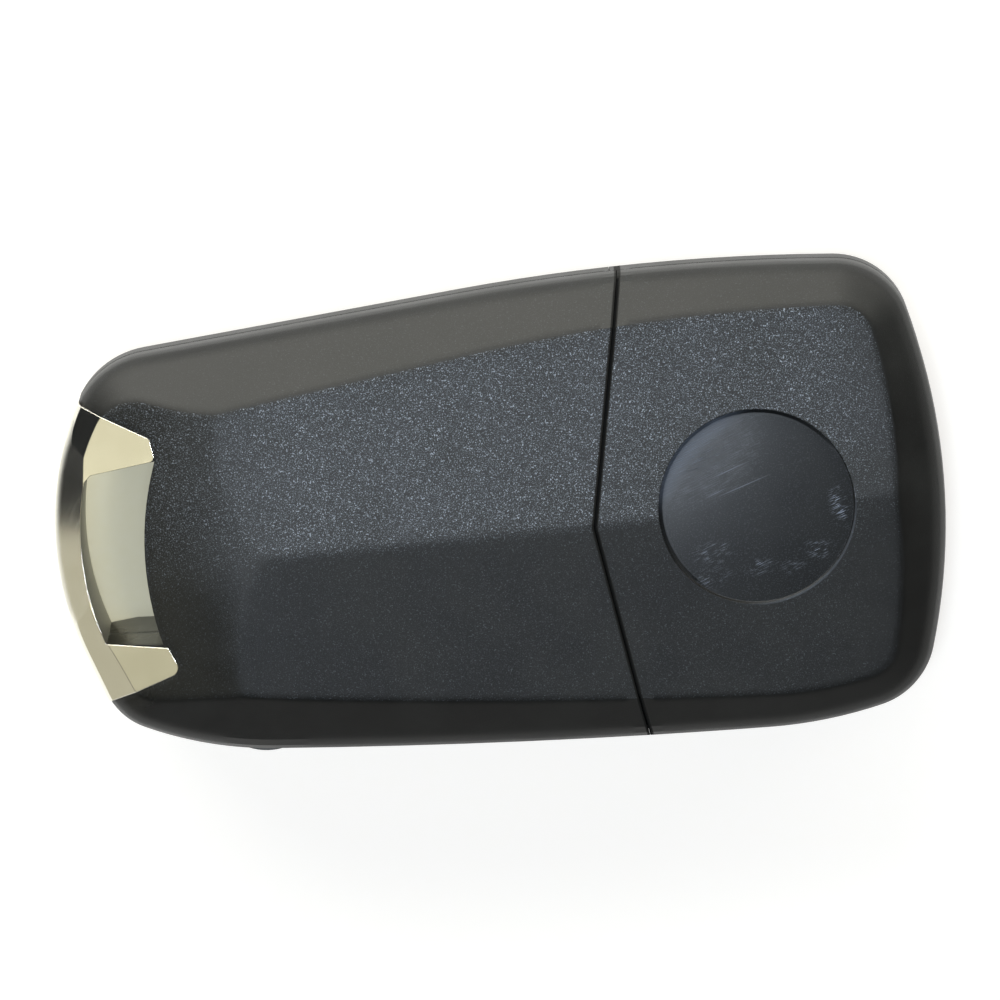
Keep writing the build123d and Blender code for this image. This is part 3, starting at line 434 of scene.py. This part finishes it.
# Colour and shares of the scratches, scuffs and wear, and of the painted highlights
scratch_and_highlight_colour = (0.36, 0.42, 0.54, 1)
worn_everywhere = 0.05
highlit_scratch_light = 0.75
rim_highlight_light = 0.55
long_scratch_light = 0.5
wear_and_highlight_light = 0.54
rim_edge_highlight_share = 0.10
seat_matt = 0.26
wear_and_highlight_matt = 0.25
rim_shade_matt = 0.12
dome_curve = 280000.0
wear_and_highlight_height = 0.5
streak_height = 0.4
foot_height = 18.0

seat, grain, cloud, painted_glints, matt = moulded_plastic("badge_seat_plastic")
from_centre = seat.place.placed(location=badge_centre, size=in_plan)
radius_here = from_centre.distance()
upper_left = from_centre.placed(turn=lit_turn).part("X") / badge_radius


def beyond(ring):
    return radius_here.between(badge_radius + ring[0], badge_radius + ring[1])


def scratch_lines(length, detail):
    size = (length, scratch_width, 1.0)
    return seat.place.placed(turn=scratch_turn, size=size).noise(scale=1.0, detail=detail)


def spot(centre, reach, turn):
    place = seat.place.placed(location=(*centre, 0.0), turn=turn, size=(*reach, any_height))
    return 1 - place.distance().between(0.0, 1.0)


inside = 1 - beyond(seat_edge)
# Painted shade: the seat's floor darker along the rim on the upper-left side
rim_painted_shade = beyond(rim_shade_ring) * upper_left.between(*rim_shade_side) * inside
# Painted highlight: the rim's edge lighter on the lower-right side
rim_edge_painted_highlight = beyond(rim_start) * (1 - beyond(rim_end)) * (1 - upper_left.between(*rim_dark_side))
# Painted highlight: a lighter crescent inside the rim on the upper-left side
rim_painted_highlight = beyond(rim_highlight_ring) * upper_left.between(*rim_highlight_side)
fine_lines = scratch_lines(fine_line_length, detail=2.0)
short_lines = scratch_lines(short_line_length, detail=1.0).between(*short_line_edge)
scuffed = seat.place.noise(scuff_scale).between(*scuff_edge)
mottle = seat.place.noise(mottle_scale, detail=1.0).between(*mottle_edge)
# Painted highlight: the fine scratches lighter only in a zone at the upper left
scratches_in_painted_highlight = fine_lines.between(*streak_edge) * spot(*scratch_highlight_zone, turn=scratch_highlight_turn)
mottled = (1 - mottle_share) + mottle_share * mottle
lined = (1 - line_share) + line_share * fine_lines
wear_and_highlights = (highlit_scratch_light * scratches_in_painted_highlight + worn_everywhere) * mottled + worn_everywhere * mottle
wear_and_highlights = wear_and_highlights + rim_highlight_light * rim_painted_highlight * lined
for centre, reach, depth in scuff_spots:
    wear_and_highlights = wear_and_highlights + depth * short_lines * scuffed * spot(centre, reach, turn=scuff_turn)
for centre, length, turn in long_scratches:
    wear_and_highlights = wear_and_highlights + long_scratch_light * spot(centre, (length, scratch_width), turn=turn)
wear_and_highlights = wear_and_highlights * inside

gap = parting(seat, parting_gap)
clean = (cloud * (1 - rim_painted_shade) - gap).tint(casing_colour, casing_cloud)
painted_glint_base = (painted_glints * ((1 - inside) * (1 - gap))).tint(clean, painted_glint_colour)
seat_floor_matt = seat_matt + wear_and_highlight_matt * wear_and_highlights + rim_shade_matt * rim_painted_shade
seat.feed(
    Base_Color=(wear_and_highlight_light * wear_and_highlights + rim_edge_highlight_share * rim_edge_painted_highlight).tint(painted_glint_base, scratch_and_highlight_colour),
    Roughness=matt * (1 - inside) + inside * seat_floor_matt + gap_matt * gap,
)
dome = wear_and_highlight_height * wear_and_highlights + streak_height * scratches_in_painted_highlight - dome_curve * (radius_here * radius_here)
foot = foot_height * beyond(foot_ring) * upper_left.between(*foot_side)
relief = grain * (1 - inside) + inside * (dome + foot)
seat.bump(relief, grain_height, start=casing_normal(seat, 1 - beyond(lip_ring)))
seat.coat_nodes("remote_back_cover")


# Key-ring bow: one polished zinc casting that closes the head's corner, with a tab on each
# side of the key-ring window and softly rounded edges. Its wall in the window is rougher, and
# darker as painted shade.
bow_dull = (0.87, 0.85, 0.76, 1)
bow_bright = (0.91, 0.89, 0.81, 1)
inner_wall_painted_shade = (0.42, 0.40, 0.34, 1)
inner_wall_facing = (0.6, 0.8)
haze_scale = 240.0
hairline_turn = 62.0
hairline_size = (0.006, 0.0002, 0.0016)
hairline_edge = (0.55, 0.8)
hairline_height = 0.000001
bow_matt = 0.08
haze_matt = 0.06
hairline_matt = 0.04
inner_wall_matt = 0.35
rim_axis = (0.02489, -0.00117, 0.0)
rim_edge = (0.0611, 0.0613)
rim_round = 0.0010
tab_round = 0.00011

bow = Finish("polished_bow", Metallic=1.0)
haze = bow.place.noise(haze_scale, patch_detail)
hairlines = bow.place.placed(turn=hairline_turn, size=hairline_size).noise(scale=1.0)
inner_wall = bow.facing().part("X").between(*inner_wall_facing)
polished = haze.between(*patch_edge).tint(bow_dull, bow_bright)
scratched = hairline_matt * hairlines.between(*hairline_edge)
# Painted shade: the wall facing into the key-ring window is darker
bow.feed(
    Base_Color=inner_wall.tint(polished, inner_wall_painted_shade),
    Roughness=bow_matt + haze_matt * haze + scratched + inner_wall_matt * inner_wall,
)
at_rim = bow.place.placed(location=rim_axis, size=in_plan).distance().between(*rim_edge)
soft_edges = at_rim.bend(bow.rounded(tab_round), bow.rounded(rim_round))
bow.bump(hairlines, hairline_height, start=soft_edges)
bow.coat_nodes("ring_bow")


# Screws: three zinc-plated, self-tapping steel screws with pan heads and a driven recess, which
# hold the two halves of the head together. Their bare metal, and that of the blade, the hub, the
# pin, the spring and the pressed parts, has fine tool lines, pits and a haze of handling.
handling_scale = 170.0
handling_matt = 0.06
pit_scale = 2600.0
pit_edge = (0.62, 0.74)
pit_darkness = 0.5
pit_matt = 0.10
tool_line_matt = 0.08
tool_line_height = 0.000002
small_round = 0.00008


def worked_metal(name, dull, bright, matt, turn, line_size):
    finish = Finish(name, Metallic=1.0)
    handling = finish.place.noise(handling_scale, patch_detail)
    lines = finish.place.placed(turn=turn, size=line_size).noise(scale=1.0, detail=3.0)
    pits = finish.place.noise(pit_scale).between(*pit_edge)
    finish.feed(
        Base_Color=(handling - pit_darkness * pits).tint(dull, bright),
        Roughness=matt + handling_matt * handling + tool_line_matt * lines + pit_matt * pits,
    )
    finish.bump(lines, tool_line_height, edge=small_round)
    return finish


screw_metal = worked_metal(
    "plated_screw_steel",
    dull=(0.42, 0.40, 0.36, 1),
    bright=(0.62, 0.60, 0.56, 1),
    matt=0.22,
    turn=20,
    line_size=(0.002, 0.0001, 0.0008),
)
screw_metal.coat_nodes("head_screws")


# Blade: a flat bar of nickel-plated steel, ground along its length, with a wavy track milled
# into both faces. Its root is pinned into the hub.
blade_metal = worked_metal(
    "ground_blade_metal",
    dull=(0.50, 0.47, 0.40, 1),
    bright=(0.72, 0.69, 0.62, 1),
    matt=0.20,
    turn=0,
    line_size=(0.010, 0.00008, 0.00008),
)
blade_metal.coat_nodes("key_blade")


# Hub: a disc with an arm that takes the blade's root, die-cast in zinc and coated black. It
# turns in the head on two trunnions.
hub_metal = worked_metal(
    "black_hub_metal",
    dull=(0.030, 0.030, 0.029, 1),
    bright=(0.065, 0.064, 0.061, 1),
    matt=0.34,
    turn=70,
    line_size=(0.0006, 0.0005, 0.0006),
)
hub_metal.coat_nodes("blade_hub")


# Roll pin: rolled from spring steel, so it is slit along its length, and dark from hardening.
# It is driven through the hub and the blade.
pin_metal = worked_metal(
    "roll_pin_steel",
    dull=(0.30, 0.29, 0.28, 1),
    bright=(0.50, 0.48, 0.46, 1),
    matt=0.26,
    turn=0,
    line_size=(0.0002, 0.0002, 0.003),
)
pin_metal.coat_nodes("blade_roll_pin")


# Release button: a chromed cap over the pivot on the front, with the faint rings that polishing
# leaves. Its stem reaches into the hub.
chrome_dull = (0.74, 0.75, 0.76, 1)
chrome_bright = (0.84, 0.85, 0.86, 1)
chrome_matt = 0.07
chrome_haze_scale = 500.0
chrome_haze_matt = 0.07
polish_ring_scale = 9000.0
polish_ring_matt = 0.01
polish_ring_height = 0.0000004


def middle_of(node):
    low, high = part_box(node)
    return ((low[0] + high[0]) / 2, (low[1] + high[1]) / 2, 0.0)


chrome = Finish("chromed_button", Metallic=1.0)
button_middle = middle_of("release_button")
from_pivot = chrome.place.placed(location=button_middle, size=in_plan).distance()
rings = (from_pivot * polish_ring_scale).wave()
haze = chrome.place.patches(chrome_haze_scale)
chrome.feed(
    Base_Color=haze.tint(chrome_dull, chrome_bright),
    Roughness=chrome_matt + chrome_haze_matt * haze + polish_ring_matt * rings,
)
chrome.bump(rings, polish_ring_height)
chrome.coat_nodes("release_button")


# Flip spring: coiled from blued music wire, with lighter wear along the coils. It stands between
# the release button and the head's back, which press it shorter as the button is pressed; here it
# is a smooth copy of the model's spring, fixed to the head.
same_point = 0.000001

spring_metal = worked_metal(
    "blued_spring_wire",
    dull=(0.10, 0.10, 0.12, 1),
    bright=(0.30, 0.29, 0.28, 1),
    matt=0.28,
    turn=0,
    line_size=(0.003, 0.003, 0.0001),
)
wire_mesh = bmesh.new()
wire_mesh.from_mesh(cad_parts["flip_spring"].data)
bmesh.ops.remove_doubles(wire_mesh, verts=wire_mesh.verts[:], dist=same_point)
bmesh.ops.recalc_face_normals(wire_mesh, faces=wire_mesh.faces[:])
for face in wire_mesh.faces:
    face.smooth = True
wire_data = bpy.data.meshes.new("flip_spring_wire")
wire_mesh.to_mesh(wire_data)
wire_mesh.free()
wire_data.materials.append(spring_metal.material)
wire = bpy.data.objects.new("flip_spring_wire", wire_data)
bpy.context.scene.collection.objects.link(wire)
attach(wire, "head")
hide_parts("flip_spring")
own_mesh(wire)


# Coin cell: a wide can and a narrower cap of stainless steel, crimped together and finished in
# fine rings round the middle.
can_dull = (0.58, 0.57, 0.54, 1)
can_bright = (0.70, 0.69, 0.67, 1)
can_matt = 0.18
can_haze_scale = 300.0
can_haze_matt = 0.12
turned_ring_scale = 9000.0
turned_ring_matt = 0.12
turned_ring_height = 0.000002

cell_metal = Finish("cell_stainless_steel", Metallic=1.0)
from_middle = cell_metal.place.placed(location=middle_of("coin_cell"), size=in_plan).distance()
turned = from_middle.noise(turned_ring_scale, detail=1.0)
haze = cell_metal.place.patches(can_haze_scale)
cell_metal.feed(
    Base_Color=haze.tint(can_dull, can_bright),
    Roughness=can_matt + can_haze_matt * haze + turned_ring_matt * turned,
)
cell_metal.bump(turned, turned_ring_height)
cell_metal.coat_nodes("coin_cell")


# Battery clips: pressed from nickel-plated spring sheet. The negative one is a finger on the
# board that springs up to the cell, the positive one a strap over the cell.
clip_metal = worked_metal(
    "nickel_clip_sheet",
    dull=(0.55, 0.51, 0.43, 1),
    bright=(0.74, 0.71, 0.63, 1),
    matt=0.20,
    turn=90,
    line_size=(0.004, 0.00012, 0.0012),
)
clip_metal.coat_nodes("battery_clip_negative", "battery_clip_positive")


# Resonator: sets the frequency of the transmitter. Its can is drawn from plated steel sheet and
# soldered to the board.
resonator_metal = worked_metal(
    "resonator_can_metal",
    dull=(0.52, 0.52, 0.50, 1),
    bright=(0.70, 0.70, 0.68, 1),
    matt=0.24,
    turn=0,
    line_size=(0.004, 0.00010, 0.0010),
)
resonator_metal.coat_nodes("resonator")


# Remote buttons: two caps moulded in soft-touch rubber over the keypad's plungers, slightly
# dusty. The other small mouldings have the same faint flow marks and dust in their own colours.
flow_scale = 300.0
flow_share = 0.6
flow_matt = 0.10
dust_scale = 1800.0
dust_edge = (0.64, 0.78)
dust_share = 0.4
dust_matt = 0.08


def small_moulding(name, dark, light, matt, texture_scale, texture_height):
    finish = Finish(name, IOR=plastic_ior)
    flow = finish.place.patches(flow_scale)
    dust = finish.place.noise(dust_scale, detail=3.0).between(*dust_edge)
    finish.feed(
        Base_Color=(flow_share * flow + dust_share * dust).tint(dark, light),
        Roughness=matt + flow_matt * flow + dust_matt * dust,
    )
    finish.bump(finish.place.noise(texture_scale), texture_height)
    return finish


rubber = small_moulding(
    "soft_button_rubber",
    dark=(0.010, 0.010, 0.010, 1),
    light=(0.022, 0.022, 0.023, 1),
    matt=0.58,
    texture_scale=5200.0,
    texture_height=0.00001,
)
rubber.coat_nodes("lock_button", "unlock_button")


# Keypad frame and plungers: moulded in natural nylon, warm white. The frame stands round the
# buttons and carries the board, and each plunger passes a button's push on to its switch.
nylon = small_moulding(
    "natural_nylon",
    dark=(0.46, 0.44, 0.38, 1),
    light=(0.60, 0.58, 0.52, 1),
    matt=0.40,
    texture_scale=2600.0,
    texture_height=0.00001,
)
nylon.coat_nodes("keypad_frame", "lock_plunger", "unlock_plunger")


# Switches: two tactile switches in moulded black housings, soldered to the board behind the
# plungers that press them.
switch_plastic = small_moulding(
    "switch_housing",
    dark=(0.018, 0.018, 0.018, 1),
    light=(0.040, 0.040, 0.040, 1),
    matt=0.45,
    texture_scale=4200.0,
    texture_height=0.000008,
)
switch_plastic.coat_nodes("lock_switch", "unlock_switch")


# Controller chip: moulded in fine, matt black epoxy round its circuit, and soldered to a corner
# of the board beside the cell.
epoxy = small_moulding(
    "chip_epoxy",
    dark=(0.014, 0.014, 0.015, 1),
    light=(0.030, 0.030, 0.032, 1),
    matt=0.52,
    texture_scale=6000.0,
    texture_height=0.000006,
)
epoxy.coat_nodes("controller_chip")


# Transponder: the immobiliser's coil and chip, moulded into a small glossier black brick that
# lies on the floor of the head.
brick = small_moulding(
    "transponder_wedge",
    dark=(0.012, 0.012, 0.012, 1),
    light=(0.026, 0.026, 0.027, 1),
    matt=0.34,
    texture_scale=3800.0,
    texture_height=0.00001,
)
brick.coat_nodes("transponder")


# Circuit board: glass-fibre laminate under a glossy green mask, with copper runs and pads
# showing lighter through it and the weave of the cloth faintly in relief.
mask_green = (0.008, 0.055, 0.022, 1)
copper_green = (0.10, 0.26, 0.10, 1)
mask_coat = 0.4
coat_matt = 0.08
mask_matt = 0.26
mask_haze_scale = 400.0
mask_haze_light = 0.12
mask_haze_matt = 0.10
run_scale = 420.0
run_edge = (0.05, 0.10)
run_light = 0.45
pad_scale = 520.0
pad_edge = (0.20, 0.26)
pad_light = 0.55
weave_scale = 9000.0
weave_share = 0.3
copper_height = 0.000008
board_round = 0.0001

board = Finish(
    "green_solder_mask", IOR=plastic_ior, Coat_Weight=mask_coat, Coat_Roughness=coat_matt
)
to_edge = {"feature": "DISTANCE_TO_EDGE"}
cells = board.place.node("TexVoronoi", to_edge, {"Vector": board.place, "Scale": run_scale})
dots = board.place.node("TexVoronoi", {}, {"Vector": board.place, "Scale": pad_scale})
runs = 1 - cells.between(*run_edge)
pads = 1 - dots.between(*pad_edge)
warp = (board.place.part("X") * weave_scale).wave()
weft = (board.place.part("Y") * weave_scale).wave()
haze = board.place.patches(mask_haze_scale)
copper = run_light * runs + pad_light * pads + mask_haze_light * haze
board.feed(
    Base_Color=copper.tint(mask_green, copper_green),
    Roughness=mask_matt + mask_haze_matt * haze,
)
board.bump(weave_share * (warp * weft) + runs + pads, copper_height, edge=board_round)
board.coat_nodes("circuit_board")


# Padlock signs on the two buttons: printed in pale grey, closed on one and open on the other.
# Each is a small rounded body with a shackle that stands towards the far side.
sign_low = 0.00031
sign_high = 0.00037
sign_body = (0.0034, 0.0026)
sign_drop = 0.0006
sign_corner = 0.0003
corner_steps = 3
shackle_reach = 0.0010
shackle_bar = 0.00042
shackle_leg = 0.0008
shackle_foot = 0.5 * sign_corner
arch_steps = 14
open_shift = 0.0020
open_leg = 0.45 * shackle_leg
ink_dark = (0.42, 0.42, 0.40, 1)
ink_light = (0.62, 0.62, 0.60, 1)
ink_matt = 0.42
worn_scale = 1500.0
worn_edge = (0.35, 0.65)
worn_matt = 0.14
ink_grain_scale = 3000.0
ink_grain_height = 0.000004
ink_round = 0.00003

ink = Finish("printed_sign_ink")
worn = ink.place.noise(worn_scale, detail=3.0).between(*worn_edge)
ink.feed(Base_Color=worn.tint(ink_dark, ink_light), Roughness=ink_matt + worn_matt * worn)
ink.bump(ink.place.noise(ink_grain_scale), ink_grain_height, edge=ink_round)


def only(kind, items):
    return [item for item in items if isinstance(item, kind)]


def padlock_sign(name, button, body_name, shift, last_leg):
    middle_x, button_y, _ = middle_of(button)
    middle_y = button_y - sign_drop
    thickness = sign_high - sign_low
    mesh = bmesh.new()
    place = Matrix.Translation((middle_x, middle_y, (sign_low + sign_high) / 2))
    size = Matrix.Diagonal((*sign_body, thickness, 1))
    bmesh.ops.create_cube(mesh, size=1.0, matrix=place @ size)
    upright = [
        edge for edge in mesh.edges if abs(edge.verts[0].co.z - edge.verts[1].co.z) > thickness / 2
    ]
    bmesh.ops.bevel(
        mesh,
        geom=upright,
        offset=sign_corner,
        affect="EDGES",
        segments=corner_steps,
        profile=0.5,
        material=-1,
    )
    foot = middle_y + sign_body[1] / 2 - shackle_foot
    centre_x = middle_x + shift
    left = centre_x + shackle_reach - shackle_bar / 2
    right = centre_x + shackle_reach + shackle_bar / 2
    section = ((left, sign_low), (right, sign_low), (right, sign_high), (left, sign_high))
    end = mesh.faces.new([mesh.verts.new((across, foot, rise)) for across, rise in section])
    leg = bmesh.ops.extrude_face_region(mesh, geom=[end])["geom"]
    bmesh.ops.translate(mesh, vec=(0, shackle_leg, 0), verts=only(bmesh.types.BMVert, leg))
    arch = bmesh.ops.spin(
        mesh,
        geom=only(bmesh.types.BMFace, leg),
        cent=(centre_x, foot + shackle_leg, 0),
        axis=(0, 0, 1),
        angle=radians(180),
        steps=arch_steps,
        use_duplicate=False,
    )["geom_last"]
    down = bmesh.ops.extrude_face_region(mesh, geom=only(bmesh.types.BMFace, arch))["geom"]
    bmesh.ops.translate(mesh, vec=(0, -last_leg, 0), verts=only(bmesh.types.BMVert, down))
    bmesh.ops.recalc_face_normals(mesh, faces=mesh.faces[:])
    data = bpy.data.meshes.new(name)
    mesh.to_mesh(data)
    mesh.free()
    data.materials.append(ink.material)
    sign = bpy.data.objects.new(name, data)
    bpy.context.scene.collection.objects.link(sign)
    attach(sign, body_name)


padlock_sign("closed_padlock_sign", "lock_button", "lock_key", shift=0.0, last_leg=shackle_leg)
padlock_sign("open_padlock_sign", "unlock_button", "unlock_key", shift=open_shift, last_leg=open_leg)
